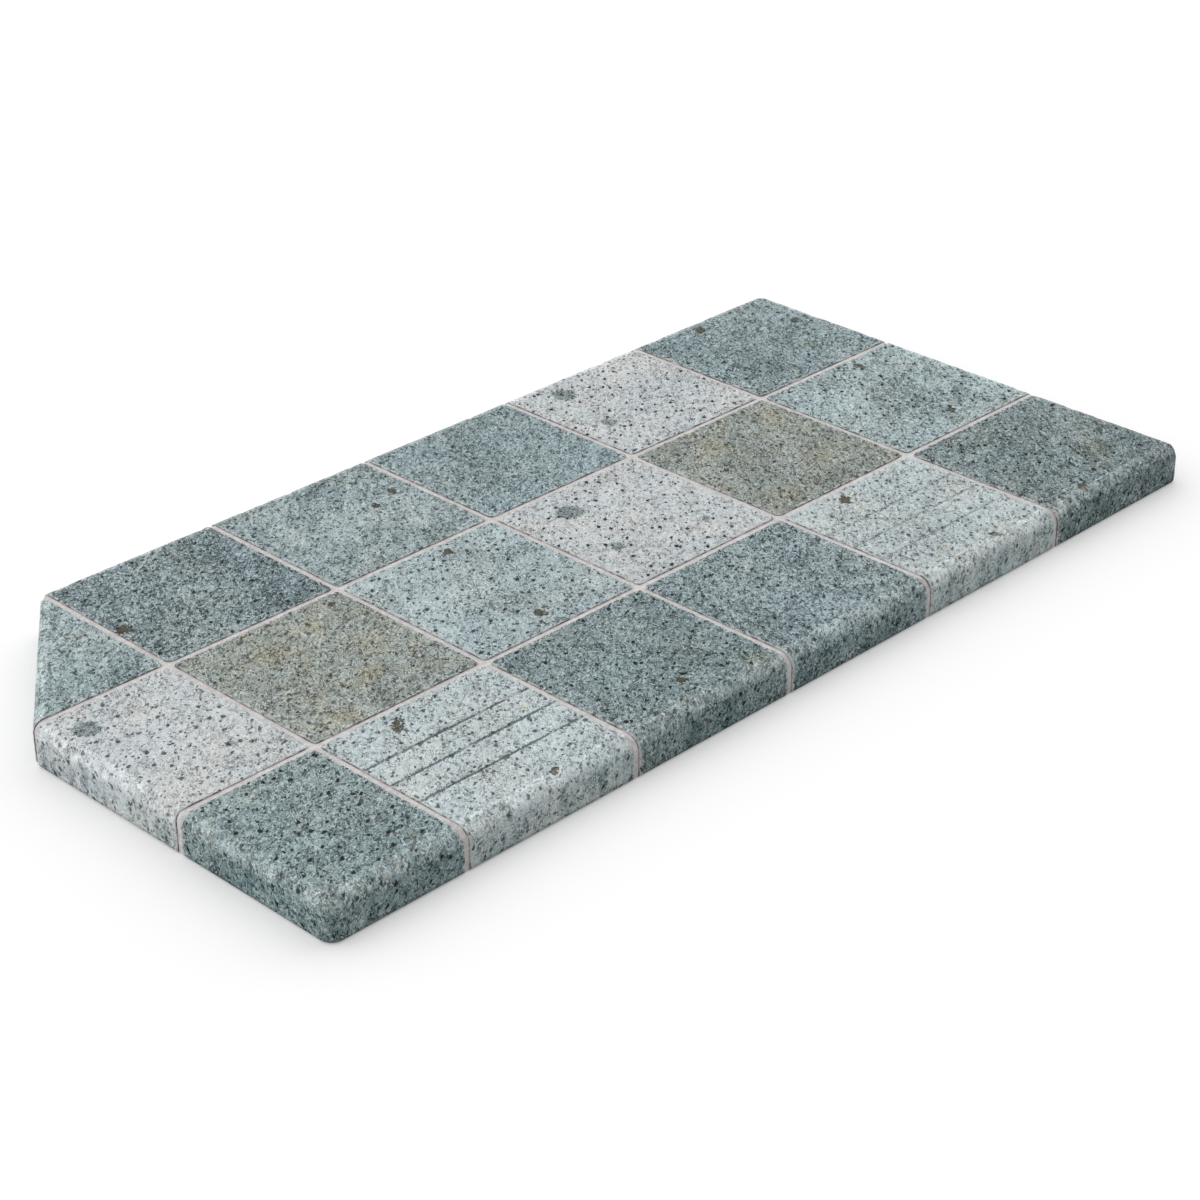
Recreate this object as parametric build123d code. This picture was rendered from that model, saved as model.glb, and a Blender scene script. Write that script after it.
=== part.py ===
from build123d import *
import os

# Porcelain stair tread with one cut corner. It is one fired slab whose top and edge
# faces are pressed into square fields, with grout in the grooves between the fields.
# +X runs along the tread, +Y from the nosing to the riser side and +Z up. The origin
# is the middle of the underside's bounding rectangle.

# Overall sizes, in millimetres
tread_length = 600.0
tread_depth = 300.0
tread_thickness = 21.0

# Fields and joints
field_face = 100.0  # side of a whole square field
left_field = 75.0  # width of the part fields in the first crosswise column
front_field = 96.0  # depth of the part fields in the row at the nosing
least_end_field = 40.0  # no joint lies nearer to the far ends than this
joint_width = 3.0
groove_depth = 3.0  # from the field faces to the floor of a groove
grout_recess = 0.9  # from the field faces down to the face of the grout
field_ease = 0.5  # bevel of the fields along the mouths of the grooves
crossing_radius = 2.5  # corners of the fields where two joints cross

# Edges
nosing_radius = 8.0  # top edge along the nosing
arris_radius = 5.0  # top edge along the ends, the cut corner and the riser side
corner_radius = 7.0  # upright edges
foot_radius = 2.0  # bottom edge, all round

# Pressed keying on the underside
key_width = 12.0
key_land = 6.0
key_depth = 0.8
key_margin = 22.0  # plain border between the channels and the outline

# Places that follow from the sizes above
left_end = -tread_length / 2
right_end = tread_length / 2
nosing = -tread_depth / 2
riser_side = tread_depth / 2
joint_pitch = field_face + joint_width


def joint_lines(start, first_field, end):
    """Centre lines of the joints between start and end, one pitch apart."""
    lines = []
    line = start + first_field + joint_width / 2
    while end - line - joint_width / 2 >= least_end_field:
        lines.append(line)
        line += joint_pitch
    return lines


crosswise_joints = joint_lines(left_end, left_field, right_end)
lengthwise_joints = joint_lines(nosing, front_field, riser_side)


def outline():
    """Plan of the slab. The left rear corner is cut from joint to joint."""
    corners = [
        (left_end, nosing),
        (right_end, nosing),
        (right_end, riser_side),
        (crosswise_joints[0], riser_side),
        (left_end, lengthwise_joints[-1]),
    ]
    plan = make_face(Polyline(*corners, close=True))
    return fillet(plan.vertices(), corner_radius)


def behind_nosing(inset):
    """All that lies behind and below the rounded nosing when it is drawn in by inset."""
    height = tread_thickness - inset
    block = Box(2 * tread_length, 2 * tread_depth, 2 * height)
    block = Pos(0, nosing + inset + tread_depth, 0) * block
    front_top = block.edges().filter_by(Axis.X).group_by(Axis.Z)[-1].sort_by(Axis.Y)[0]
    return fillet(front_top, nosing_radius - inset)


def slab(inset):
    """The slab drawn in by inset at its top and edges, with its underside in place."""
    plan = outline()
    if inset > 0:
        plan = offset(plan, -inset)
    height = tread_thickness - inset
    body = extrude(plan, height)
    top_edges = body.faces().sort_by(Axis.Z)[-1].edges()
    body = fillet(top_edges, arris_radius - inset)
    if foot_radius > inset:
        foot_edges = body.faces().sort_by(Axis.Z)[0].edges()
        body = fillet(foot_edges, foot_radius - inset)
    return body & behind_nosing(inset)


def joint_slices():
    """Upright slices through the slab, one along each joint and as wide as the joint."""
    tall = 3 * tread_thickness
    across = [
        Pos(x, 0, 0) * Box(joint_width, 2 * tread_depth, tall) for x in crosswise_joints
    ]
    along = [
        Pos(0, y, 0) * Box(2 * tread_length, joint_width, tall) for y in lengthwise_joints
    ]
    return Part() + across + along


def key_channels():
    """Shallow parallel channels in the underside, which stop short of its edges."""
    keyed = offset(outline(), -key_margin)
    pitch = key_width + key_land
    count = int((tread_depth / 2 - key_margin) // pitch)
    centres = [(i + 0.5) * pitch for i in range(-count, count)]
    stripes = Sketch() + [
        Pos(0, y) * Rectangle(2 * tread_length, key_width) for y in centres
    ]
    return extrude(keyed & stripes, key_depth)


def off_line(coordinate, lines):
    """Distance of a coordinate from the nearest of some lines."""
    return min(abs(coordinate - line) for line in lines)


def is_on_wall(coordinate, lines):
    """Whether a coordinate is half a joint's width off the nearest line."""
    return abs(off_line(coordinate, lines) - joint_width / 2) < 1e-3


def is_groove_wall(face):
    """Whether a face of a field was cut by a joint or rounds a corner at a crossing."""
    normal, centre = face.normal_at(), face.center()
    if face.geom_type == GeomType.CYLINDER:
        reach = joint_width / 2 + crossing_radius
        near_crosswise = off_line(centre.X, crosswise_joints) < reach
        return near_crosswise and off_line(centre.Y, lengthwise_joints) < reach
    if face.geom_type != GeomType.PLANE:
        return False
    if abs(normal.X) > 0.999:
        return is_on_wall(centre.X, crosswise_joints)
    return abs(normal.Y) > 0.999 and is_on_wall(centre.Y, lengthwise_joints)


def make_field(block):
    """A field block with rounded corners at the crossings and bevelled along every groove."""
    corners = [
        edge
        for edge in block.edges().filter_by(Axis.Z)
        if is_on_wall(edge.center().X, crosswise_joints)
        and is_on_wall(edge.center().Y, lengthwise_joints)
    ]
    field = block.fillet(crossing_radius, corners)
    walls = [face for face in field.faces() if is_groove_wall(face)]
    edges = [edge for wall in walls for edge in wall.edges()]
    rim = [
        edge
        for edge in edges
        if sum(edge.is_same(other) for other in edges) == 1 and edge.center().Z > 1e-3
    ]
    return field.chamfer(field_ease, None, rim)


def make_tread_body(fields):
    """The slab, with the grooves pressed in to one depth over top, arris and edges."""
    return Part() + fields + slab(groove_depth) - key_channels()


def make_joint_grout(fields):
    """The grout network, from the groove floors up to its recessed face."""
    return slab(grout_recess) - slab(groove_depth) - fields


fields = [make_field(block) for block in (slab(0) - joint_slices()).solids()]
parts = {"tread_body": make_tread_body(fields), "joint_grout": make_joint_grout(fields)}

os.makedirs("parts", exist_ok=True)
for name, part in parts.items():
    export_step(Compound(part.solids()), f"parts/{name}.step")
    print(name, len(part.solids()), "solid", round(part.volume / 1000, 2), "cm3")
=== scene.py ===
import math

import bmesh
import bpy
import numpy as np
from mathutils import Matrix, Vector, noise
from mathutils.geometry import delaunay_2d_cdt


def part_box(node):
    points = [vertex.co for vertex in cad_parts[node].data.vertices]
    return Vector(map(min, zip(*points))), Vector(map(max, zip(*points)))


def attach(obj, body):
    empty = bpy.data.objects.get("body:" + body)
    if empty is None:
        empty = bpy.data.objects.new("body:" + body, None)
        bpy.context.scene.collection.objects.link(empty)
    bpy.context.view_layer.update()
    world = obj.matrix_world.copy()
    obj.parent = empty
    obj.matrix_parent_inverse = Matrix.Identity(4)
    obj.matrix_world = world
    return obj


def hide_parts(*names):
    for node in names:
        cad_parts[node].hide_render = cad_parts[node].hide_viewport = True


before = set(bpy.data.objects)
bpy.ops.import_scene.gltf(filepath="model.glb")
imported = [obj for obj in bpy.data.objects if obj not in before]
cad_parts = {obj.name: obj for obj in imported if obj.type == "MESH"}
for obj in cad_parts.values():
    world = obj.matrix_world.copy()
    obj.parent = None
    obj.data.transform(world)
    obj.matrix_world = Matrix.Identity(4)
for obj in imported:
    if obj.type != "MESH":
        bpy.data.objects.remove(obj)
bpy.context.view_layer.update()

# Porcelain stair tread with a cut corner. X runs along it, Y from the nosing to the riser
# side and Z up, with the origin in the middle of the underside. The body's shape is worked
# out in millimetres and written into its mesh in metres.
METRES = 0.001

# Sizes of the slab that the frame's box gives, in millimetres
low, high = [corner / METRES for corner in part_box("tread_body")]
left_end, nosing = low.x, low.y
right_end, riser_side, thickness = high.x, high.y, high.z

# Sizes of the fields, joints and edges, in millimetres
field_face = 100.0  # side of a whole field
left_field = 75.0  # width of the fields at the left end
front_field = 96.0  # depth of the fields at the nosing
joint_width = 3.0
crosswise_count = 5
lengthwise_count = 2
groove_depth = 3.0
crossing_radius = 2.5  # corners of the fields where two joints cross
nosing_radius = 8.0
arris_radius = 5.0
corner_radius = 7.0  # upright edges
foot_radius = 2.0
key_width = 12.0  # keying channels in the underside
key_land = 6.0
key_depth = 0.8
key_margin = 22.0

# Spacing of the body's mesh, in millimetres
grid_step = 2.0
core_inset = 9.0  # from the outline in to the flat grid of the top
groove_offsets = (1.44, 1.5, 1.8, 2.2, 2.8, 4.0)  # each side of a joint, floor to rim
saw_offsets = (0.0, 0.35, 0.8)  # each side of a saw line
arc_lead = 0.9  # where the section of the edge begins, outside the pivots
arc_steps = 7  # rows of faces down the arris, the edge face and the foot
side_steps = 5
foot_steps = 3
fan_step = math.radians(4.5)  # between columns round an upright edge
cut_reach = 18.0  # how far from an end of the cut corner the mesh is cut for its groove
cut_play = 0.004  # such a cut takes the vertices that are nearer than this
cut_snap = 0.03  # vertices as near as this to the cut corner's side lie on it
weld = 0.02  # vertices nearer to each other than this become one
hair = 0.001  # play between places that should be the same
slack = 0.01  # and where cutting and welding have moved them
sharp_angle = math.radians(38)  # faces that meet at more than this keep a sharp edge

joint_half = joint_width / 2
joint_pitch = field_face + joint_width
crosswise_joints = [
    left_end + left_field + joint_half + k * joint_pitch for k in range(crosswise_count)
]
lengthwise_joints = [
    nosing + front_field + joint_half + k * joint_pitch for k in range(lengthwise_count)
]

# Wear pressed into the body's mesh, in millimetres
fine_size = 3.1
broad_size = 14.0
chip_size = 6.0
fine_relief = 0.05
broad_relief = 0.10
chip_start = 0.12  # level of the noise above which the arris is chipped
worn_tilt = 0.75  # tilt of the skin where it wears most, and how far that spreads
worn_spread = 0.55
flat_tilt = 0.1  # the saw grooves stop where the skin tilts more
foot_wear = 0.15
least_reach = 0.3  # keeps a move along a joint short where the skin is nearly upright
ragged_broad = 0.35  # share of the broad noise in how ragged a groove's mouth is
mouth_depth = (0.22, 0.30)  # of a groove: the least, and what a ragged place adds
mouth_width = (0.45, 1.1)
foot_mouth = 0.5  # the most that a groove's mouth takes off the foot

# Saw grooves across the nosing row: their lines, and how strong they are in each field
saw_lines = (-83.5, -100.8, -118.8)
sawn_columns = (0.30, 1.0, 0.12, 0.18, 0.50, 0.20)
saw_cut = 0.38
saw_half_width = 0.7

# Base colours of the fired surface
SLATE = (0.224, 0.303, 0.322)
TEAL = (0.214, 0.290, 0.300)
ASH = (0.302, 0.386, 0.400)
SAGE = (0.396, 0.484, 0.503)
OLIVE = (0.294, 0.338, 0.320)
PALE = (0.580, 0.612, 0.625)
PALE_SAWN = (0.510, 0.580, 0.592)

# Colours of its details. A tint multiplies the colour under it, and a lift is added to it.
FLECK_LIFT = (0.33, 0.34, 0.34)
COOL_DRIFT = (0.975, 1.0, 1.012)
WARM_DRIFT = (1.025, 1.005, 0.98)
OLIVE_TINT = (1.04, 0.98, 0.89)
OCHRE_TINT = (1.00, 0.89, 0.74)
PIT = (0.006, 0.010, 0.012)
HALO_TINT = (0.68, 0.74, 0.75)
WHITE_GRAIN = (0.62, 0.65, 0.63)
OCHRE_GRAIN = (0.33, 0.285, 0.19)
INCLUSION_TINTS = ((0.19, 0.24, 0.24), (0.48, 0.54, 0.54))
BROWN_RIM = (0.012, 0.011, 0.008)
BROWN_CORE = (0.072, 0.056, 0.028)
BROWN_FLECK = (0.14, 0.12, 0.075)
SAW_DUST = (0.060, 0.088, 0.094)
# Painted highlight on the arris, mixed with its rubbed wear
RUBBED_AND_HIGHLIGHT_LIFT = (0.17, 0.17, 0.165)
# Painted shade on the edge faces
SIDE_SHADE = (0.93, 0.96, 0.96)
STREAK_TINT = (0.55, 0.62, 0.62)
# Painted shade, darker towards the bottom of the edge faces
FOOT_SHADE = (0.60, 0.56, 0.53)
GROUT_HAZE = (0.60, 0.60, 0.595)
# Dark line along the joint rims: painted shade
RIM_SHADE = (0.10, 0.085, 0.080)
# Groove walls, painted dark as shade in the recess
GROOVE_WALL_SHADE = ((0.36, 0.34, 0.33), (0.15, 0.13, 0.125))
PLAIN_BODY = ((0.29, 0.315, 0.315), (0.35, 0.375, 0.37))
PLAIN_FLECK = (0.42, 0.44, 0.435)

# Colours of the grout and the floor
GROUT = ((0.565, 0.543, 0.538), (0.700, 0.675, 0.670))
GROUT_PORE = (0.30, 0.27, 0.26)
GROUT_SAND = (0.72, 0.70, 0.68)
FLOOR = (0.78, 0.775, 0.775, 1)
FLOOR_GLOW = (1.0, 0.998, 0.998, 1)
WHITE = (1, 1, 1, 1)

# Spacing of the cells that hold one pit, speck or grain each, in millimetres
pit_spacing = 6.4
speck_spacing = 2.9
grain_spacing = 8.5

# Span that nearly all of a noise lies in
NOISE_SPAN = (0.3, 0.7)

# Tone, lightness, olive clouding, pits, flecks and clouds of each field, from the nosing
# row back
field_looks = [
    [(TEAL, 1.12, 0.12, 1.0, 0.95, 0.7), (PALE_SAWN, 1.02, 0.10, 0.8, 0.70, 0.9),
     (TEAL, 0.98, 0.0, 1.0, 0.95, 0.7), (SLATE, 1.00, 0.0, 0.9, 1.05, 1.3),
     (PALE_SAWN, 0.99, 0.08, 0.7, 0.65, 0.8), (TEAL, 0.86, 0.15, 1.0, 1.0, 1.1)],
    [(PALE, 1.01, 0.0, 0.82, 0.60, 0.8), (OLIVE, 1.07, 1.0, 0.6, 0.85, 0.8),
     (SAGE, 1.00, 0.0, 0.9, 0.8, 0.9), (PALE, 0.98, 0.0, 1.0, 0.60, 0.7),
     (OLIVE, 0.96, 0.9, 0.8, 0.85, 0.8), (ASH, 1.14, 0.0, 1.0, 1.0, 1.4)],
    [(ASH, 1.05, 0.0, 0.6, 0.95, 1.5), (SLATE, 0.97, 0.0, 0.9, 1.15, 1.5),
     (ASH, 1.00, 0.12, 0.7, 0.9, 1.5), (SLATE, 1.18, 0.0, 0.7, 0.95, 1.0),
     (PALE, 0.98, 0.0, 1.0, 0.65, 0.8), (SLATE, 1.10, 0.12, 0.8, 1.0, 1.2)],
]

# Marks in the fired surface, in millimetres: x, y, radius, and how much longer than wide
inclusions = [
    (-285, 31, 6.5, 1.0), (16, 27, 7.0, 1.0), (6, -16, 4.4, 1.0), (115, 131, 7.2, 1.0),
    (107, 88, 4.6, 1.0), (98, 90, 2.0, 1.0), (59, -26, 2.2, 1.3), (-248, -24, 2.4, 1.0),
]
brown_spots = [
    (-186, -65, 2.8, 1.7), (-218, 92, 4.0, 1.0), (-217, 104, 1.6, 1.0), (-31, 110, 2.8, 1.3),
    (-48, 103, 2.6, 1.0), (-57, 40, 2.6, 1.2), (-133, 40, 2.2, 1.1), (-69, -37, 3.2, 1.2),
    (-43, -38, 1.8, 1.0), (-102, -50, 1.5, 1.0), (-69, -128, 2.8, 1.0), (-74, -137, 1.4, 1.0),
    (234, 138, 3.0, 1.2), (284, 109, 3.0, 1.2), (259, 39, 3.0, 1.1), (249, -34, 2.8, 1.3),
    (124, -64, 3.2, 1.5), (147, -142, 2.4, 1.1), (222, -141, 2.8, 1.2), (-267, -6, 1.5, 1.0),
    (-164, -142, 2.4, 1.2), (173, 56, 1.8, 1.0),
]
ochre_stains = [
    (-185, 22, 10, 1.2), (-176, 7, 4, 1.5), (-162, -22, 9, 1.2), (-147, -4, 9, 1.4),
    (-197, -42, 7, 1.0), (-155, 30, 8, 1.0), (122, 25, 9, 1.2), (170, 30, 9, 1.3),
    (150, -20, 10, 1.2), (133, 9, 4, 1.2), (110, -40, 8, 1.0), (-136, -94, 2.8, 1.1),
    (-268, -61, 2.4, 1.0), (-240, -134, 4, 1.0), (-284, -24, 2.4, 1.0), (120, -76, 2.0, 1.0),
    (176, -92, 3.0, 1.1), (245, -133, 5, 1.3), (230, -72, 4, 1.0), (203, 115, 4, 1.0),
    (262, 80, 4, 1.2), (118, -132, 3, 1.4), (262, -120, 12, 1.3), (-30, -140, 8, 1.0),
]

# Soft clouds in the fired surface: x, y, radius, length over width, lightness in doublings
soft_clouds = [
    (-150, 120, 22, 1.2, -0.40), (-145, 75, 22, 1.2, -0.40), (-277, 72, 10, 1.2, -0.40),
    (-250, 92, 7, 1.2, -0.40), (-60, 75, 20, 1.2, 0.25), (-95, 120, 16, 1.3, 0.25),
    (210, 85, 18, 1.2, -0.45), (205, 138, 12, 1.3, -0.40), (250, 65, 16, 1.2, 0.25),
    (248, -15, 18, 1.3, -0.50), (196, 22, 10, 1.2, 0.35), (226, 18, 8, 1.2, 0.45),
    (-108, 0, 14, 1.4, 0.30), (-50, 15, 14, 1.4, -0.25), (-255, -128, 12, 1.2, -0.40),
    (-48, -122, 18, 1.2, -0.25), (-142, -102, 10, 1.3, 0.30), (170, -108, 12, 1.4, 0.30),
    (50, -128, 6, 1.6, -0.50), (135, -38, 12, 1.3, -0.35),
]

# Direction that marks and flecks are drawn out in, and by how much flecks are
mark_direction = (0.716, 0.698)
grain_stretch = 1.6

# Values that the mesh stores for the material, in millimetres
pattern_seed = 7
pattern_shift = 400  # each field's patterns are shifted by up to this
underside_fall = 30.0  # stands for the distance down the edge on the underside
far_from_saw = 9.0  # stands for the distance from a saw groove where there is none

# Floor, light and camera, in metres and radians, and for the lens in millimetres
floor_half = 12.0
floor_level = -0.0002
floor_lift = 0.25  # light that only the camera sees on the floor
light_slope = (0.2, 0.8, 0.0)  # how the dome brightens along each axis
plain_light = 0.8
end_light = 0.8  # what the dome adds at both ends of the slab
camera_place = (-0.90193, -0.88932, 0.67656)
camera_turn = (1.07204, 0.0, -0.79763)
lens = 85.79
sensor_width = 36.0
clip_range = (0.05, 50.0)


# Outline of the slab
def inset_outline(inset):
    """Corners of the plan drawn in by inset, anticlockwise from the left end of the nosing."""
    run = crosswise_joints[0] - left_end
    rise = riser_side - lengthwise_joints[-1]
    slope = math.hypot(run, rise)

    def on_cut(x=None, y=None):
        reach = inset * slope
        if x is None:
            return left_end + ((y - lengthwise_joints[-1]) * run + reach) / rise
        return lengthwise_joints[-1] + ((x - left_end) * rise - reach) / run

    left, right = left_end + inset, right_end - inset
    front, rear = nosing + inset, riser_side - inset
    cut = [(on_cut(y=rear), rear), (left, on_cut(x=left))]
    return np.array([(left, front), (right, front), (right, rear), *cut])


def sides_of(corners):
    """The sides of an outline, each from one corner to the next."""
    return list(zip(corners, np.roll(corners, -1, axis=0)))


# Numbers of the outline's corners at the rear and the left end of the cut
cut_rear, cut_left = 3, 4

# The flat grid of the top fills the core. The rounded edge turns about the pivots.
core = inset_outline(core_inset)
core_sides = sides_of(core)
pivots = inset_outline(corner_radius)
pivot_sides = sides_of(pivots)


def outward(side):
    """Unit normal of a side, which points out of the slab."""
    along = side[1] - side[0]
    return np.array([along[1], -along[0]]) / np.hypot(*along)


def off_pivots(points):
    """How far each point is outside the pivots' outline, which way, and how far inside."""
    plan = points[:, :2]
    best = np.full(len(plan), np.inf)
    away = np.zeros((len(plan), 2))
    beyond = np.full(len(plan), -np.inf)
    for side in pivot_sides:
        start, along = side[0], side[1] - side[0]
        beyond = np.maximum(beyond, (plan - start) @ outward(side))
        share = np.clip((plan - start) @ along / (along @ along), 0, 1)
        offset = plan - start - share[:, None] * along
        distance = np.hypot(offset[:, 0], offset[:, 1])
        closer = distance < best
        best[closer] = distance[closer]
        away[closer] = offset[closer]
    inside = beyond < hair
    best[inside] = 0.0
    away[inside] = 0.0
    return best, away / np.maximum(best, 1e-9)[:, None], np.clip(-beyond, 0, None)


def radius_towards(away):
    """Radius of the top edge: the nosing's own, blending to the smaller one at its corners."""
    ahead = np.clip(-away[..., 1], 0, 1)
    return arris_radius + (nosing_radius - arris_radius) * ahead ** 2 * (3 - 2 * ahead)


# Grooves and wear in the skin
def joint_offset(coordinate, joints):
    """Distance from the nearest joint's centre line."""
    return np.min([np.abs(coordinate - joint) for joint in joints], axis=0)


def smooth_noise(points, scale, seed):
    """Noise of about -1 to 1 with features of the given size in millimetres."""
    shift = Vector((seed * 17.3, seed * 5.1, seed * 9.7))
    return np.array([noise.noise(Vector(p) / scale + shift) for p in points.tolist()])


def groove_profile(distance, ragged):
    """Depth of a groove at a distance from its centre line, with a worn mouth."""
    depth = mouth_depth[0] + mouth_depth[1] * np.clip(ragged + 0.25, 0, 1)
    width = mouth_width[0] + mouth_width[1] * np.clip(ragged + 0.15, 0, 1)
    past = np.clip((distance - joint_half) / width, 0, 1)
    return np.where(distance < groove_offsets[0] + slack, groove_depth, depth * (1 - past) ** 2)


def round_crossings(points, moved):
    """Rounds the corners of the fields in plan where two joints cross."""
    for joint_x in crosswise_joints:
        for joint_y in lengthwise_joints:
            centre = np.array([joint_x, joint_y])
            offset = points[:, :2] - centre
            past = np.abs(offset) - joint_half
            inner, outer = past.min(axis=1), past.max(axis=1)
            corner = (inner > -0.1) & (outer < crossing_radius)
            reach = crossing_radius - inner[corner]
            turn = (crossing_radius - outer[corner]) / reach * math.pi / 4
            near = crossing_radius - reach * np.cos(turn)
            far = crossing_radius - reach * np.sin(turn)
            across_first = (past[corner, 0] <= past[corner, 1])[:, None]
            near_far = np.stack([near, far], axis=1)
            shifted = np.where(across_first, near_far, near_far[:, ::-1])
            moved[corner, :2] = centre + np.sign(offset[corner]) * (shifted + joint_half)


def saw_depth(points, ragged):
    """Depth of the shallow saw grooves across the fields of the nosing row."""
    strength = np.array(sawn_columns)[np.searchsorted(crosswise_joints, points[:, 0])]
    across = np.clip(1 - joint_offset(points[:, 1], saw_lines) / saw_half_width, 0, 1)
    depth = saw_cut * strength * across * (0.8 + 0.6 * ragged)
    return np.clip(depth, 0, 1) * (points[:, 1] < lengthwise_joints[0])


def walk_along_joints(normal, across, along, grooved):
    """Way that each point moves in: in a groove along the joint, so the walls stay upright."""
    walk = normal.copy()
    walk[across >= along, 0] = 0.0
    walk[across < along, 1] = 0.0
    walk /= np.maximum(np.linalg.norm(walk, axis=1), 1e-6)[:, None]
    reach = np.maximum(np.einsum("ij,ij->i", walk, normal), least_reach)
    return np.where(grooved[:, None], walk / reach[:, None], normal)


def roll_out(points, distance, away, within, radius, tilt):
    """How far each point is down the edge's section, and its place on the skin laid flat.

    The distance starts where the arris does, and is negative on the flat top.
    """
    outside = distance > hair
    near_front = points[:, 1] - nosing < core_inset + 1
    start = np.where(outside, radius, np.where(near_front, nosing_radius, arris_radius))
    fall = np.where(tilt > 0, tilt * radius, start - (within + corner_radius - distance))
    fall += np.clip(thickness - radius - points[:, 2], 0, None) * outside
    out = np.where(outside, corner_radius - radius + fall, distance)
    return fall, points[:, :2] + away * (out - distance)[:, None]


def carve(points):
    """The slab's smooth skin moved in to press grooves and wear into it, and rolled out."""
    distance, away, within = off_pivots(points)
    radius = radius_towards(away)
    height = points[:, 2]
    outside = distance > hair
    level = thickness - radius
    on_arris = outside & (height > level + hair)
    tilt = np.where(on_arris, np.arccos(np.clip((height - level) / radius, -1, 1)), 0.0)
    tilt[outside & ~on_arris] = math.pi / 2
    normal = np.concatenate([away * np.sin(tilt)[:, None], np.cos(tilt)[:, None]], axis=1)

    fine = smooth_noise(points, fine_size, 1)
    broad = smooth_noise(points, broad_size, 2)
    ragged = fine + ragged_broad * broad
    across = groove_profile(joint_offset(points[:, 0], crosswise_joints), ragged)
    along = groove_profile(joint_offset(points[:, 1], lengthwise_joints), ragged)
    depth = np.maximum(across, along)
    grooved = depth > groove_depth - slack
    walk = walk_along_joints(normal, across, along, grooved)

    worn_arris = np.exp(-(((tilt - worn_tilt) / worn_spread) ** 2)) * outside
    chips = np.clip(smooth_noise(points, chip_size, 3) - chip_start, 0, 1)
    relief = broad_relief * (1 + broad) + fine_relief * (1 + fine) + worn_arris * chips
    relief += saw_depth(points, fine) * (tilt < flat_tilt)
    relief[grooved] = 0.0
    moved = points - walk * (depth + relief)[:, None]

    # The foot rounds under, and the grooves run down through it
    foot = height < foot_radius + hair
    worn_in = foot_wear * (1 + broad) + np.minimum(depth, foot_mouth)
    held = np.minimum(distance, corner_radius - np.where(grooved, depth, worn_in))
    way = np.where(grooved[:, None], walk[:, :2], away)
    moved[foot, :2] = (points[:, :2] - way * (distance - held)[:, None])[foot]
    moved[foot, 2] = height[foot]
    round_crossings(points, moved)
    return moved, *roll_out(points, distance, away, within, radius, tilt)


# Mesh of the fired body
def grid_lines(start, end, joints, saws=()):
    """Mesh lines from start to end, close together at the joints and even elsewhere."""
    fixed = [start, end]
    for joint in joints:
        fixed += [joint + sign * offset for offset in groove_offsets for sign in (-1, 1)]
    for saw in saws:
        fixed += [saw + sign * offset for offset in saw_offsets for sign in (-1, 1)]
    fixed = sorted({round(line, 4) for line in fixed if start <= line <= end})
    lines = []
    for near, far in zip(fixed, fixed[1:]):
        count = max(1, round((far - near) / grid_step))
        lines += [near + (far - near) * k / count for k in range(count)]
    return lines + [end]


def make_core_grid(skin):
    """The flat middle of the top, as a grid whose rear left corner is cut off."""
    columns = grid_lines(core[0][0], core[1][0], crosswise_joints)
    rows = grid_lines(core[0][1], core[2][1], lengthwise_joints, saw_lines)
    verts = [[skin.verts.new((x, y, thickness)) for x in columns] for y in rows]
    for lower, upper in zip(verts, verts[1:]):
        for k in range(len(columns) - 1):
            skin.faces.new((lower[k], lower[k + 1], upper[k + 1], upper[k]))
    cut = core_sides[cut_rear]
    bmesh.ops.bisect_plane(
        skin,
        geom=skin.verts[:] + skin.edges[:] + skin.faces[:],
        dist=weld,
        plane_co=(*cut[0], thickness),
        plane_no=(*outward(cut), 0),
        clear_outer=True,
    )
    normal = outward(cut)
    for vert in skin.verts:
        off = (vert.co.x - cut[0][0]) * normal[0] + (vert.co.y - cut[0][1]) * normal[1]
        if abs(off) < cut_snap:
            vert.co.x -= off * normal[0]
            vert.co.y -= off * normal[1]


def boundary_loop(skin, start=None):
    """The boundary's vertices in order, from the one nearest to start if that is given."""
    after = {}
    for edge in skin.edges:
        if edge.is_boundary:
            loop = edge.link_loops[0]
            after[loop.vert] = loop.link_loop_next.vert
    first = next(iter(after))
    if start is not None:
        first = min(after, key=lambda vert: math.dist(vert.co.xy, start))
    ring = [first]
    while after[ring[-1]] is not first:
        ring.append(after[ring[-1]])
    return ring


def edge_section(radius):
    """Distance out from the pivots' outline, and height, of each row of the edge's mesh."""
    start = math.asin((radius - min(radius, corner_radius - arc_lead)) / radius)
    rows = []
    for k in range(arc_steps + 1):
        turn = start + (math.pi / 2 - start) * k / arc_steps
        rows.append((
            corner_radius - radius * (1 - math.sin(turn)),
            thickness - radius * (1 - math.cos(turn)),
        ))
    top, bottom = thickness - radius, foot_radius
    for k in range(1, side_steps + 1):
        rows.append((corner_radius, top + (bottom - top) * k / side_steps))
    for k in range(1, foot_steps + 1):
        turn = math.radians(90 / foot_steps * k)
        rows.append((
            corner_radius - foot_radius * (1 - math.cos(turn)),
            foot_radius * (1 - math.sin(turn)),
        ))
    return rows


def column_starts(ring):
    """For each ring vertex, where its mesh columns turn down and in which directions."""
    normals = [outward(side) for side in core_sides]
    starts = []
    for vert in ring:
        at = np.array(vert.co.xy)
        corner = next((k for k in range(len(core)) if math.dist(at, core[k]) < slack), None)
        if corner is None:
            gaps = [abs((at - side[0]) @ outward(side)) for side in core_sides]
            normal = normals[int(np.argmin(gaps))]
            starts.append((at + normal * (core_inset - corner_radius), [normal]))
            continue
        before, behind = normals[corner - 1], normals[corner]
        start = math.atan2(before[1], before[0])
        sweep = (math.atan2(behind[1], behind[0]) - start) % math.tau
        count = round(sweep / fan_step)
        turns = [start + sweep * k / count for k in range(count + 1)]
        fan = [np.array([math.cos(turn), math.sin(turn)]) for turn in turns]
        starts.append((pivots[corner], fan))
    return starts


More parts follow.
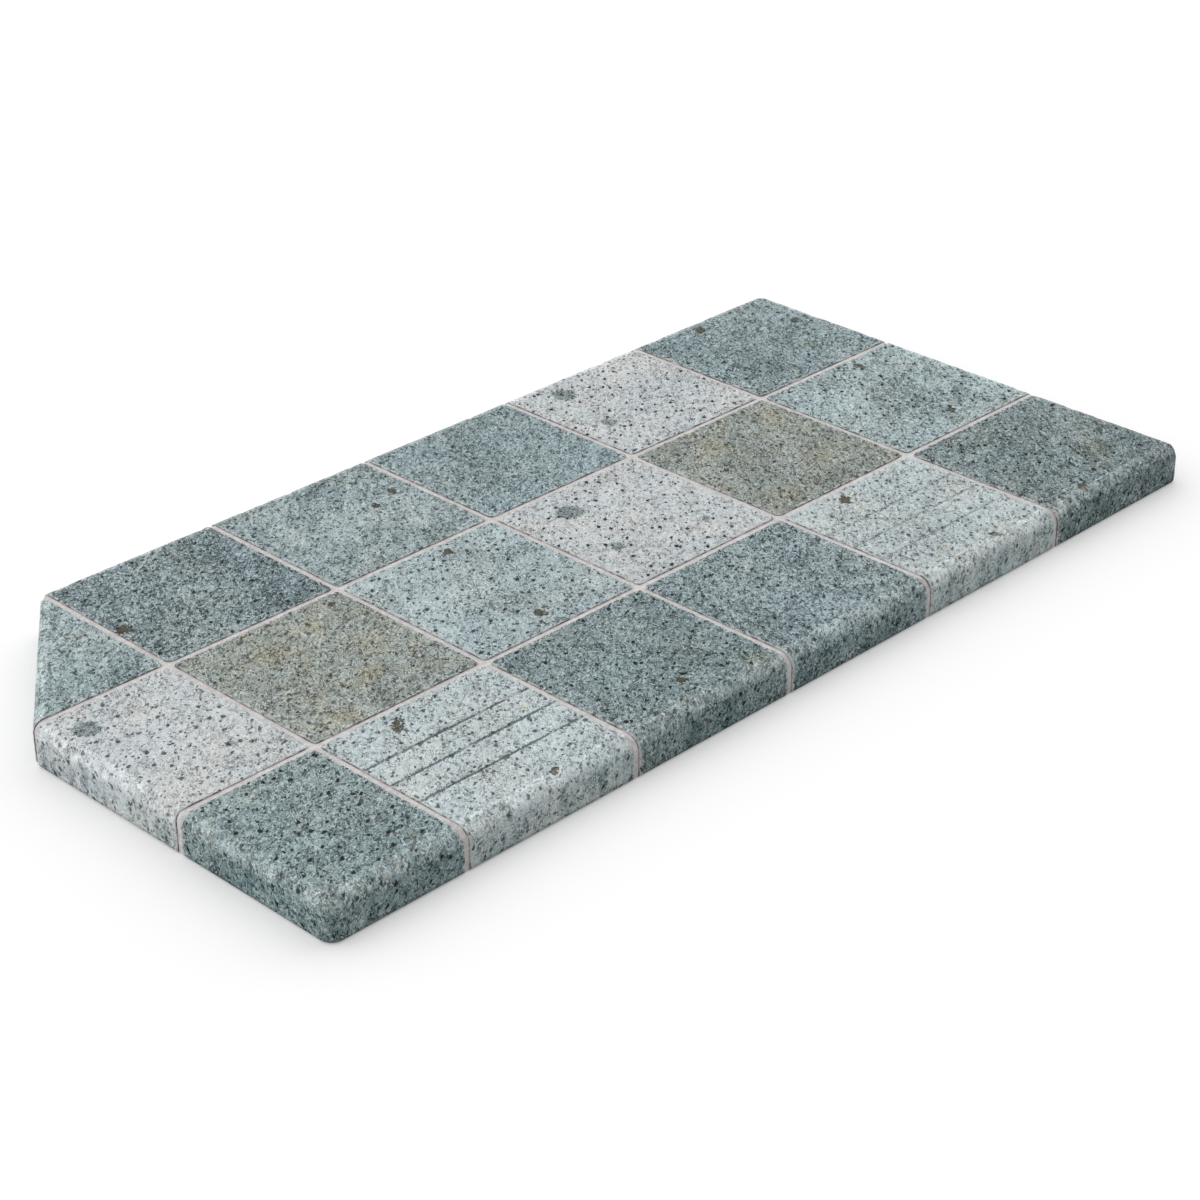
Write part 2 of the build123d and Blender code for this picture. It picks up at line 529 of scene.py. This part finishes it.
def add_edges(skin):
    """Sweeps the rounded edge down from the rim of the grid."""
    ring = boundary_loop(skin, core[0])
    columns = []
    for vert, (place, fan) in zip(ring, column_starts(ring)):
        pivot = skin.verts.new((*place, thickness))
        for normal in fan:
            column = [vert, pivot]
            for out, height in edge_section(radius_towards(normal)):
                column.append(skin.verts.new((*(place + normal * out), height)))
            columns.append(column)
    for column, following in zip(columns, columns[1:] + columns[:1]):
        for k in range(len(column) - 1):
            corners = [column[k], column[k + 1], following[k + 1], following[k]]
            distinct = list(dict.fromkeys(corners))
            if len(distinct) > 2:
                skin.faces.new(distinct)


def cut_corner_grooves(skin):
    """Mesh lines for the two grooves that leave the slab at the ends of the cut corner."""
    planes = []
    for sign in (-1, 1):
        for offset in groove_offsets:
            x = crosswise_joints[0] + sign * offset
            y = lengthwise_joints[-1] + sign * offset
            planes.append(((x, 0, 0), (1, 0, 0), core[cut_rear]))
            planes.append(((0, y, 0), (0, 1, 0), core[cut_left]))
    for place, normal, corner in planes:
        near = [
            face for face in skin.faces
            if math.dist(face.calc_center_median().xy, corner) < cut_reach
        ]
        edges = {edge for face in near for edge in face.edges}
        verts = {vert for face in near for vert in face.verts}
        bmesh.ops.bisect_plane(
            skin,
            geom=[*verts, *edges, *near],
            dist=cut_play,
            plane_co=place,
            plane_no=normal,
        )
    bmesh.ops.remove_doubles(skin, verts=skin.verts[:], dist=weld)


def key_channels():
    """Plans of the shallow keying channels in the underside."""
    border = inset_outline(key_margin)
    left, right = border[0][0], border[1][0]
    (cut_rear_x, cut_rear_y), (_, cut_left_y) = border[cut_rear], border[cut_left]
    slope = (cut_rear_x - left) / (cut_rear_y - cut_left_y)
    pitch = key_width + key_land
    count = int((riser_side - key_margin) // pitch)
    channels = []
    for k in range(-count, count):
        front = (k + 0.5) * pitch - key_width / 2
        rear = front + key_width
        plan = [(left, front), (right, front), (right, rear), (left, rear)]
        if rear > cut_left_y:
            rear_left = left + slope * (rear - cut_left_y)
            if front < cut_left_y:
                plan[3:] = [(rear_left, rear), (left, cut_left_y)]
            else:
                plan[3] = (rear_left, rear)
                plan[0] = (left + slope * (front - cut_left_y), front)
        channels.append(plan)
    return channels


def are_inside(points, starts, ends):
    """Whether each point is inside the loops of edges: a ray from it crosses an odd number."""
    x, y = points[:, :1], points[:, 1:]
    crossed = (starts[:, 1] > y) != (ends[:, 1] > y)
    rise = np.where(crossed, ends[:, 1] - starts[:, 1], 1.0)
    meeting = starts[:, 0] + (y - starts[:, 1]) * (ends[:, 0] - starts[:, 0]) / rise
    return (crossed & (meeting > x)).sum(axis=1) % 2 == 1


def add_underside(skin, ring):
    """Closes the body with its channelled underside, and returns the vertices it adds."""
    loops, added = [ring], []
    for plan in key_channels():
        mouth = [skin.verts.new((x, y, 0)) for x, y in plan]
        floor = [skin.verts.new((x, y, key_depth)) for x, y in plan]
        for k in range(len(plan)):
            skin.faces.new((mouth[k - 1], mouth[k], floor[k], floor[k - 1]))
        skin.faces.new(floor[::-1])
        loops.append(mouth)
        added += mouth + floor
    flat, links = [], []
    for loop in loops:
        first, count = len(flat), len(loop)
        links += [(first + k, first + (k + 1) % count) for k in range(count)]
        flat += loop
    plan = np.array([vert.co[:2] for vert in flat])
    starts, ends = plan[np.array(links).T]
    _, _, corners, origins, _, _ = delaunay_2d_cdt(
        [Vector(place) for place in plan], links, [], 0, 1e-6
    )
    faces = [[origins[k][0] for k in face] for face in corners]
    middles = np.array([plan[face].mean(axis=0) for face in faces])
    for face, inside in zip(faces, are_inside(middles, starts, ends)):
        if inside:
            skin.faces.new([flat[k] for k in face[::-1]])
    return added


def distance_in_radii(points, x, y, radius, stretch):
    """Distance from a mark's middle, where 1 is the mark's own outline."""
    along = np.array(mark_direction)
    offset = points[:, :2] - (x, y)
    return np.hypot(offset @ along / stretch, offset @ (-along[1], along[0])) / radius


def nearest_mark(points, marks):
    """Distance in radii from the mark that is nearest by that measure."""
    return np.min([distance_in_radii(points, *mark) for mark in marks], axis=0)


def cloud_lightness(points):
    """What the soft clouds add to the lightness, in doublings."""
    total = np.zeros(len(points))
    for *mark, doublings in soft_clouds:
        total += doublings * np.exp(-distance_in_radii(points, *mark) ** 2)
    return total


def store(mesh, name, kind, values):
    """Writes values, one for each vertex, to a new attribute of the mesh."""
    attribute = mesh.attributes.new(name, kind, "POINT")
    field = {"FLOAT": "value", "FLOAT_VECTOR": "vector", "FLOAT_COLOR": "color"}[kind]
    attribute.data.foreach_set(field, np.asarray(values, np.float32).ravel())


def store_patterns(mesh, points, fall, sheet):
    """Stores what the material needs to know: fields, rims, edges and marks."""
    looks = np.array([
        [(*(part * lightness for part in tone), *traits) for tone, lightness, *traits in line]
        for line in field_looks
    ])
    random = np.random.default_rng(pattern_seed)
    shifts = random.uniform(-pattern_shift, pattern_shift, (*looks.shape[:2], 3))
    column = np.searchsorted(crosswise_joints, points[:, 0])
    row = np.searchsorted(lengthwise_joints, points[:, 1])
    own, shift = looks[row, column], shifts[row, column]
    ones = np.ones((len(points), 1))
    store(mesh, "tone", "FLOAT_COLOR", np.concatenate([own[:, :3], ones], axis=1))
    store(mesh, "traits", "FLOAT_COLOR", np.concatenate([own[:, 3:6], ones], axis=1))
    store(mesh, "clouds", "FLOAT", own[:, 6])
    store(mesh, "cloud", "FLOAT", cloud_lightness(points))
    store(mesh, "shift", "FLOAT_VECTOR", shift)
    flat = np.concatenate([sheet + shift[:, :2], 0 * ones], axis=1)
    store(mesh, "sheet", "FLOAT_VECTOR", flat)
    from_crosswise = joint_offset(points[:, 0], crosswise_joints)
    from_lengthwise = joint_offset(points[:, 1], lengthwise_joints)
    from_joint = np.minimum(from_crosswise, from_lengthwise)
    store(mesh, "rim", "FLOAT", np.clip(from_joint - joint_half, -1, 12))
    store(mesh, "fall", "FLOAT", np.clip(fall, -20, 40))
    in_front = row == 0
    from_saw = np.where(in_front, joint_offset(points[:, 1], saw_lines), far_from_saw)
    store(mesh, "saw", "FLOAT", np.clip(from_saw, 0, far_from_saw))
    store(mesh, "sawn", "FLOAT", np.where(in_front, np.array(sawn_columns)[column], 0.0))
    for name, marks in (("blob", inclusions), ("spot", brown_spots), ("stain", ochre_stains)):
        store(mesh, name, "FLOAT", np.clip(nearest_mark(points, marks), 0, 4))


def make_tread_body():
    """The fired slab with worn edges, groove walls and keying, as one closed mesh."""
    skin = bmesh.new()
    make_core_grid(skin)
    add_edges(skin)
    cut_corner_grooves(skin)
    carved = skin.verts[:]
    smooth = np.array([vert.co for vert in carved])
    moved, fall, sheet = carve(smooth)
    for vert, place in zip(carved, moved):
        vert.co = place
    added = add_underside(skin, boundary_loop(skin))
    extra = np.array([vert.co for vert in added])

    # The mesh keeps its own order of vertices, which isn't the order they were made in
    number = {vert: k for k, vert in enumerate(carved + added)}
    order = [number[vert] for vert in skin.verts]
    points = np.concatenate([smooth, extra])[order]
    fall = np.concatenate([fall, np.full(len(extra), underside_fall)])[order]
    sheet = np.concatenate([sheet, extra[:, :2]])[order]

    mesh = bpy.data.meshes.new("tread_body_fired")
    for vert in skin.verts:
        vert.co *= METRES
    bmesh.ops.recalc_face_normals(skin, faces=skin.faces[:])
    skin.to_mesh(mesh)
    skin.free()
    store_patterns(mesh, points, fall, sheet)
    mesh.shade_smooth()
    mesh.set_sharp_from_angle(angle=sharp_angle)
    body = bpy.data.objects.new("tread_body_fired", mesh)
    bpy.context.scene.collection.objects.link(body)
    return body


# Materials
class Graph:
    """Short calls that add nodes to the tree of a material or a world."""

    def __init__(self, owner):
        owner.use_nodes = True
        self.nodes = owner.node_tree.nodes
        self.links = owner.node_tree.links

    def put(self, socket, value):
        """Links a socket to another node's output, or sets its own value."""
        if isinstance(value, bpy.types.NodeSocket):
            self.links.new(value, socket)
        else:
            socket.default_value = value

    def add(self, kind, *values, **settings):
        """Adds a node with the given settings, and puts the values into its first inputs."""
        node = self.nodes.new(kind)
        for name, value in settings.items():
            setattr(node, name, value)
        for socket, value in zip(node.inputs, values):
            self.put(socket, value)
        return node

    def attribute(self, name, output="Fac"):
        return self.add("ShaderNodeAttribute", attribute_name=name).outputs[output]

    def math(self, operation, *values):
        return self.add("ShaderNodeMath", *values, operation=operation).outputs[0]

    def plus(self, first, second):
        return self.math("ADD", first, second)

    def minus(self, first, second):
        return self.math("SUBTRACT", first, second)

    def times(self, first, second):
        return self.math("MULTIPLY", first, second)

    def near(self, value, middle, start, end):
        """Goes smoothly from 0 to 1 as value's distance from middle goes from start to end."""
        return self.ramp(self.math("ABSOLUTE", self.minus(value, middle)), start, end)

    def vector(self, operation, first, second):
        return self.add("ShaderNodeVectorMath", first, second, operation=operation).outputs[0]

    def dot(self, first, second):
        node = self.add("ShaderNodeVectorMath", first, second, operation="DOT_PRODUCT")
        return node.outputs["Value"]

    def scaled(self, colour, factor):
        """The colour times a factor."""
        node = self.add("ShaderNodeVectorMath", colour, operation="SCALE")
        self.put(node.inputs["Scale"], factor)
        return node.outputs[0]

    def split(self, colour):
        """Red, green and blue of a colour, or the parts of a vector."""
        return self.add("ShaderNodeSeparateColor", colour).outputs[:3]

    def noise(self, where, size, detail, roughness, distortion=0.0, output="Fac"):
        """Noise whose features are about size millimetres wide."""
        node = self.add("ShaderNodeTexNoise", where)
        node.inputs["Scale"].default_value = 1 / size
        node.inputs["Detail"].default_value = detail
        node.inputs["Roughness"].default_value = roughness
        node.inputs["Distortion"].default_value = distortion
        return node.outputs[output]

    def cells(self, where, size):
        """Flat cells of about size millimetres, with distance in cell sizes."""
        node = self.add("ShaderNodeTexVoronoi", where, voronoi_dimensions="2D")
        node.inputs["Scale"].default_value = 1 / size
        return node.outputs

    def map_range(self, value, start, end, low, high, **settings):
        node = self.add("ShaderNodeMapRange", value, start, end, low, high, **settings)
        return node.outputs[0]

    def ramp(self, value, start, end, low=0.0, high=1.0):
        """Goes smoothly from low to high as value goes from start to end."""
        return self.map_range(value, start, end, low, high, interpolation_type="SMOOTHSTEP")

    def line(self, value, start, end, low, high):
        """Goes evenly from low to high as value goes from start to end, and on past them."""
        return self.map_range(value, start, end, low, high, clamp=False)

    def swing(self, noise_value, amount):
        """A noise turned into a swing of about the given amount either way."""
        return self.line(noise_value, *NOISE_SPAN, -amount, amount)

    def mix(self, share, first, second, blend="MIX"):
        """The first colour with a share of the second blended in."""
        node = self.add("ShaderNodeMix", share, data_type="RGBA", blend_type=blend)
        colours = [socket for socket in node.inputs if socket.type == "RGBA"]
        for socket, value in zip(colours, (first, second)):
            self.put(socket, (*value, 1.0) if isinstance(value, tuple) else value)
        return next(socket for socket in node.outputs if socket.type == "RGBA")

    def tint(self, share, colour, tint):
        """The colour, multiplied by a share of the tint."""
        return self.mix(share, colour, tint, "MULTIPLY")

    def upwards(self):
        """How far the surface faces up, from -1 to 1."""
        return self.split(self.add("ShaderNodeNewGeometry").outputs["True Normal"])[2]

    def place(self):
        """Place on the object in millimetres."""
        where = self.add("ShaderNodeTexCoord").outputs["Object"]
        return self.vector("MULTIPLY", where, (1 / METRES,) * 3)

    def drawn_out(self, where, upright=1.0):
        """Place for patterns that are drawn out along the marks' direction and upwards."""
        node = self.add("ShaderNodeMapping", where, vector_type="TEXTURE")
        node.inputs["Rotation"].default_value[2] = math.atan2(*mark_direction[::-1])
        node.inputs["Scale"].default_value = (grain_stretch, 1.0, upright)
        return node.outputs[0]

    def finish(self, colour, roughness, specular, height, depth, strength):
        """Gives the surface its colour, its gloss and a bump of up to depth millimetres."""
        shader = self.nodes["Principled BSDF"]
        self.put(shader.inputs["Base Color"], colour)
        self.put(shader.inputs["Roughness"], roughness)
        shader.inputs["Specular IOR Level"].default_value = specular
        bump = self.add("ShaderNodeBump")
        bump.inputs["Strength"].default_value = strength
        bump.inputs["Distance"].default_value = depth * METRES
        self.put(bump.inputs["Height"], height)
        self.put(shader.inputs["Normal"], bump.outputs[0])


# The layers of the fired surface. A noise takes its size in millimetres, its detail, its
# roughness and its distortion, and a ramp where it starts and ends and its values there.
def add_flecks(g, even, drawn, flecks, curl):
    """The field's tone under clouds and flecks. Also gives the patches and the strokes."""
    tone = g.attribute("tone", "Color")

    # Lightness in doublings, from broad clouds down to fine flecks
    cloud = g.swing(g.noise(drawn, 36.0, 2.0, 0.55), 0.35)
    patch = g.swing(g.noise(drawn, 8.0, 2.0, 0.6, 0.6), 0.45)
    curls = g.line(curl, 0.35, 0.65, -1.4, 1.4)
    stroke = g.noise(drawn, 2.1, 1.0, 0.4, 1.2)
    gaps = g.ramp(g.noise(drawn, 3.0, 1.0, 0.5), 0.44, 0.54)
    dark_stroke = g.near(stroke, 0.45, 0.10, 0.03)
    pale_stroke = g.near(stroke, 0.60, 0.07, 0.02)
    strokes = g.minus(g.times(pale_stroke, 0.6), dark_stroke)
    strokes = g.times(g.times(strokes, gaps), 1.7)
    fine = g.times(g.plus(curls, strokes), flecks)
    broad = g.times(g.plus(cloud, patch), g.attribute("clouds"))
    broad = g.plus(broad, g.attribute("cloud"))
    light = g.plus(g.plus(broad, fine), 0.20)
    shaded = g.scaled(tone, g.math("POWER", 2.0, g.math("MINIMUM", light, 0.0)))
    fleck = g.vector("ADD", g.scaled(tone, 0.80), FLECK_LIFT)
    colour = g.mix(g.ramp(light, 0.0, 2.0), shaded, fleck)

    # Hue drifts a little between blue and warm grey
    drift = g.ramp(g.noise(even, 34.0, 2.0, 0.5), 0.35, 0.65)
    return g.tint(1.0, colour, g.mix(drift, COOL_DRIFT, WARM_DRIFT)), patch, strokes


def add_warm_tints(g, colour, even, olive, ragged):
    """Olive clouding of some fields, and ochre stains."""
    clouding = g.ramp(g.noise(even, 15.0, 3.0, 0.65, 0.5), 0.40, 0.64)
    colour = g.tint(g.times(clouding, olive), colour, OLIVE_TINT)
    stained = g.ramp(g.plus(g.attribute("stain"), ragged), 1.35, 0.35, 0.0, 0.65)
    return g.tint(stained, colour, OCHRE_TINT)


def add_pits(g, colour, even, pits, printed):
    """Dark pits and specks, and small white and ochre grains. Also gives the holes."""
    warp = g.noise(even, 1.7, 1.0, 0.5, output="Color")
    sheet = g.vector("ADD", g.attribute("sheet", "Vector"), g.scaled(warp, 2.2))
    sheet = g.drawn_out(sheet)

    # Each pit has a size of its own, and the large ones lie in a soft halo
    cell = g.cells(sheet, pit_spacing)
    size, _, _ = g.split(cell["Color"])
    radius = g.ramp(size, 0.05, 1.0, 0.045, 0.14)
    pit = g.times(g.ramp(g.minus(radius, cell["Distance"]), -0.018, 0.022), pits)
    halo = g.times(g.ramp(cell["Distance"], 0.34, 0.08), g.ramp(size, 0.72, 0.88))
    colour = g.tint(g.times(halo, 0.55), colour, HALO_TINT)
    cell = g.cells(sheet, speck_spacing)
    _, chance, _ = g.split(cell["Color"])
    radius = g.ramp(chance, 0.40, 1.0, 0.0, 0.22)
    speck = g.ramp(g.minus(radius, cell["Distance"]), -0.03, 0.05)
    hole = g.times(g.math("MAXIMUM", pit, g.times(speck, 0.8)), printed)
    colour = g.mix(g.times(hole, 0.94), colour, PIT)

    cell = g.cells(sheet, grain_spacing)
    kind, chance, _ = g.split(cell["Color"])
    radius = g.ramp(chance, 0.60, 1.0, 0.0, 0.11)
    grain = g.ramp(g.minus(radius, cell["Distance"]), -0.02, 0.03)
    grain_colour = g.mix(g.ramp(kind, 0.58, 0.62), WHITE_GRAIN, OCHRE_GRAIN)
    return g.mix(g.times(grain, 0.5), colour, grain_colour), hole


def add_spots(g, colour, curl, ragged):
    """Blue-grey inclusions and brown spots with ragged outlines."""
    blob = g.ramp(g.plus(g.attribute("blob"), ragged), 1.2, 0.8)
    inclusion = g.mix(g.ramp(curl, 0.36, 0.64), *INCLUSION_TINTS)
    colour = g.tint(g.times(blob, 0.92), colour, inclusion)
    spot = g.plus(g.attribute("spot"), g.times(ragged, 1.8))
    rust = g.mix(g.ramp(spot, 0.95, 0.30), BROWN_RIM, BROWN_CORE)
    rust = g.mix(g.ramp(curl, 0.50, 0.66), rust, BROWN_FLECK)
    return g.mix(g.times(g.ramp(spot, 1.15, 0.85), 0.94), colour, rust)


def add_saw_dust(g, colour, even, curl):
    """Saw grooves that hold dark dust, in dashes. Also gives the grooves."""
    saw = g.plus(g.attribute("saw"), g.swing(curl, 0.5))
    dashes = g.ramp(g.noise(even, 7.0, 3.0, 0.7), 0.30, 0.48, 0.25, 1.0)
    saw = g.times(g.times(g.ramp(saw, 1.15, 0.45), dashes), g.attribute("sawn"))
    return g.mix(g.times(saw, 0.78), colour, SAW_DUST), saw


def add_edge_wear_and_shading(g, colour, even, fall):
    """Rubbed arris with a painted highlight; streaked edge faces in painted shade, darkest at
    the foot.
    """
    # The arris is rubbed pale in blotches over a painted highlight, and chipped where it begins
    band = g.times(g.ramp(fall, -2.0, 2.0), g.ramp(fall, 11.0, 6.0))
    blotch = g.ramp(g.noise(even, 7.0, 3.0, 0.6, 0.4), 0.40, 0.60, 0.15, 0.75)
    flakes = g.times(g.ramp(fall, -1.2, 0.0), g.ramp(fall, 2.8, 1.0))
    flaked = g.ramp(g.noise(even, 3.2, 3.0, 0.7, 0.6), 0.45, 0.56, 0.0, 0.7)
    rubbed_and_highlight = g.math("MAXIMUM", g.times(band, blotch), g.times(flakes, flaked))
    colour = g.mix(rubbed_and_highlight, colour, g.vector("ADD", g.scaled(colour, 1.2), RUBBED_AND_HIGHLIGHT_LIFT))

    # The edge faces get painted shade, and streaks
    side = g.ramp(fall, 6.0, 13.0)
    colour = g.tint(side, colour, SIDE_SHADE)
    streak = g.ramp(g.noise(g.drawn_out(even, 5.0), 5.0, 2.0, 0.6), 0.50, 0.64)
    colour = g.tint(g.times(g.times(streak, side), 0.75), colour, STREAK_TINT)
    # Painted shade near the floor, darker towards the bottom
    foot = g.ramp(g.split(g.place())[2], 3.0, 0.8, 0.0, 0.8)
    return g.tint(foot, colour, FOOT_SHADE)


def add_joint_rims(g, colour, even, rim, fall):
    """Rims along the joints with grout haze, pale chips, a thin line of painted shade and
    shaded groove walls.
    """
    chip = g.line(g.noise(even, 2.6, 2.0, 0.6, 0.5), 0.35, 0.65, -0.6, 1.5)
    smear = g.plus(chip, g.ramp(fall, -1.0, 4.0, 0.0, 0.7))
    haze = g.ramp(g.minus(rim, smear), 0.25, -0.15)
    colour = g.mix(g.times(haze, 0.75), colour, GROUT_HAZE)
    # Painted shade: a mottled dark line along each rim, and dark groove walls
    joint_mottle = g.ramp(g.noise(even, 6.0, 3.0, 0.65), 0.44, 0.58)
    rim_shade = g.times(g.ramp(rim, 0.40, 0.10), joint_mottle)
    colour = g.mix(g.times(rim_shade, 0.75), colour, RIM_SHADE)
    # The groove walls carry painted shade
    return g.mix(g.ramp(rim, 0.03, -0.03), colour, g.mix(joint_mottle, *GROOVE_WALL_SHADE))


def porcelain():
    """Matt fired stone look: clouds, curly flecks, pits, worn arris, chipped rims, painted
    highlight and shade.
    """
    material = bpy.data.materials.new("porcelain_stone_look")
    g = Graph(material)
    rim, fall = g.attribute("rim"), g.attribute("fall")
    below = g.ramp(fall, underside_fall - 2.0, underside_fall - 0.5)
    under = g.math("MAXIMUM", g.ramp(g.upwards(), -0.5, -0.8), below)
    printed = g.minus(1.0, under)
    olive, pits, flecks = g.split(g.attribute("traits", "Color"))
    even = g.vector("ADD", g.place(), g.scaled(g.attribute("shift", "Vector"), printed))
    drawn = g.drawn_out(even, 1.3)
    curl = g.noise(drawn, 1.25, 2.0, 0.6, 1.4)
    ragged = g.swing(g.noise(even, 3.0, 2.0, 0.6, 0.8), 0.3)

    colour, patch, strokes = add_flecks(g, even, drawn, flecks, curl)
    colour = add_warm_tints(g, colour, even, olive, ragged)
    colour, hole = add_pits(g, colour, even, pits, printed)
    colour = add_spots(g, colour, curl, ragged)
    colour, saw = add_saw_dust(g, colour, even, curl)
    colour = add_edge_wear_and_shading(g, colour, even, fall)
    colour = add_joint_rims(g, colour, even, rim, fall)

    # The underside is plain fired body
    plain = g.mix(g.ramp(patch, -0.5, 0.5), *PLAIN_BODY)
    colour = g.mix(under, colour, g.mix(g.ramp(curl, 0.55, 0.70), plain, PLAIN_FLECK))

    roughness = g.ramp(g.minus(hole, curl), -0.7, 0.5, 0.62, 0.95)
    height = g.plus(g.times(curl, 0.7), g.times(strokes, 0.1))
    height = g.minus(height, g.times(hole, 0.6))
    height = g.minus(height, g.times(saw, 0.3))
    g.finish(colour, roughness, specular=0.2, height=height, depth=0.7, strength=0.9)
    return material


def grout():
    """Pale warm grey cement grout with fine sand, a few dark pores and mottling."""
    material = bpy.data.materials.new("cement_grout")
    g = Graph(material)
    place = g.place()
    cloud = g.line(g.noise(place, 12.0, 2.0, 0.6), *NOISE_SPAN, 0.93, 1.07)
    sand = g.noise(place, 0.55, 2.0, 0.6)
    mottle = g.noise(place, 2.4, 2.0, 0.6, 0.5)
    colour = g.scaled(g.mix(g.ramp(mottle, 0.35, 0.65), *GROUT), cloud)
    colour = g.mix(g.ramp(sand, 0.60, 0.72, 0.0, 0.45), colour, GROUT_PORE)
    colour = g.mix(g.ramp(sand, 0.40, 0.28, 0.0, 0.5), colour, GROUT_SAND)
    roughness = g.line(mottle, *NOISE_SPAN, 0.92, 0.80)
    height = g.plus(g.times(sand, 0.35), g.times(mottle, 0.5))
    g.finish(colour, roughness, specular=0.25, height=height, depth=0.4, strength=0.7)
    return material


# Floor, light and camera
def add_floor():
    """Plain pale floor, lifted to white where the camera sees it, that keeps the shadow."""
    material = bpy.data.materials.new("floor")
    g = Graph(material)
    g.nodes.clear()
    diffuse = g.add("ShaderNodeBsdfDiffuse", FLOOR)
    seen = g.add("ShaderNodeLightPath").outputs["Is Camera Ray"]
    glow = g.add("ShaderNodeEmission", FLOOR_GLOW, g.times(seen, floor_lift))
    both = g.add("ShaderNodeAddShader", diffuse.outputs[0], glow.outputs[0])
    g.add("ShaderNodeOutputMaterial", both.outputs[0])
    half, level = floor_half, floor_level
    corners = [
        (-half, -half, level), (half, -half, level), (half, half, level), (-half, half, level)
    ]
    mesh = bpy.data.meshes.new("floor")
    mesh.from_pydata(corners, [], [(0, 1, 2, 3)])
    mesh.materials.append(material)
    floor = bpy.data.objects.new("floor", mesh)
    bpy.context.scene.collection.objects.link(floor)


def add_light():
    """Soft studio light: a white dome, bright behind the slab and at its ends, dim in front."""
    world = bpy.data.worlds.new("studio")
    bpy.context.scene.world = world
    g = Graph(world)
    g.nodes.clear()
    towards = g.add("ShaderNodeTexCoord").outputs["Generated"]
    endways = g.dot(towards, (1.0, 0.0, 0.0))
    ends = g.math("MULTIPLY_ADD", g.times(endways, endways), end_light, plain_light)
    level = g.plus(g.dot(towards, light_slope), ends)
    fill = g.add("ShaderNodeBackground", WHITE, level)

    # The camera, gloss and glass see plain white
    white = g.add("ShaderNodeBackground", WHITE, 1.0)
    path = g.add("ShaderNodeLightPath")
    seen = path.outputs["Is Camera Ray"]
    for name in ("Is Glossy Ray", "Is Transmission Ray"):
        seen = g.math("MAXIMUM", seen, path.outputs[name])
    choice = g.add("ShaderNodeMixShader", seen, fill.outputs[0], white.outputs[0])
    g.add("ShaderNodeOutputWorld", choice.outputs[0])


def add_camera():
    """The photograph's view, from above the near end of the nosing."""
    data = bpy.data.cameras.new("camera")
    data.sensor_width = sensor_width
    data.lens = lens
    data.clip_start, data.clip_end = clip_range
    camera = bpy.data.objects.new("camera", data)
    camera.location = camera_place
    camera.rotation_euler = camera_turn
    bpy.context.scene.collection.objects.link(camera)
    bpy.context.scene.camera = camera


body = make_tread_body()
body.data.materials.append(porcelain())
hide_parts("tread_body")
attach(body, "root")

grout_material = grout()
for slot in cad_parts["joint_grout"].material_slots:
    slot.material = grout_material

add_floor()
add_light()
add_camera()
bpy.context.scene.view_settings.view_transform = "Standard"

print("triangles", sum(len(p.vertices) - 2 for p in body.data.polygons))
